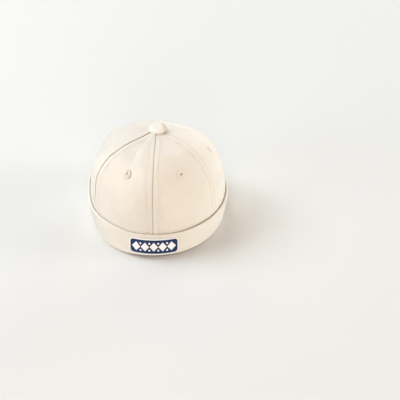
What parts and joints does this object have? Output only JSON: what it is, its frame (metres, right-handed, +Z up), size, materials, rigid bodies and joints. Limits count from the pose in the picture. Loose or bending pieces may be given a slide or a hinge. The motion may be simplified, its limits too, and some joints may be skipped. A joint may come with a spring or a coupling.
{
  "type": "docker cap",
  "caption": "Brimless child's docker cap in cream cotton twill: a dome of sewn panels with stitched eyelets, a covered top button, a turned-up cuff and a blue embroidered badge.",
  "frame": {"origin": "on the surface the cap rests on, under the middle of its overall box", "axes": "+Z up through the button, -Y towards the front with the badge, +X to the right of someone facing the front"},
  "size_m": [0.168, 0.1818, 0.1207],
  "materials": {
    "cotton_twill": "matt cream cotton twill with a fine diagonal weave",
    "eyelet_thread": "satin-stitched cotton thread, a little darker than the cloth",
    "badge_embroidery": "navy blue embroidery with a thin white border and a row of plain white diamonds"
  },
  "bodies": {
    "root": {"panel_front_left": "cotton_twill", "panel_front_right": "cotton_twill", "panel_side_right": "cotton_twill", "panel_back_right": "cotton_twill", "panel_back_left": "cotton_twill", "panel_side_left": "cotton_twill", "eyelet_front_left": "eyelet_thread", "eyelet_front_right": "eyelet_thread", "eyelet_side_right": "eyelet_thread", "eyelet_back_right": "eyelet_thread", "eyelet_back_left": "eyelet_thread", "eyelet_side_left": "eyelet_thread", "cuff": "cotton_twill", "button": "cotton_twill", "badge": "badge_embroidery"}
  },
  "joints": []
}
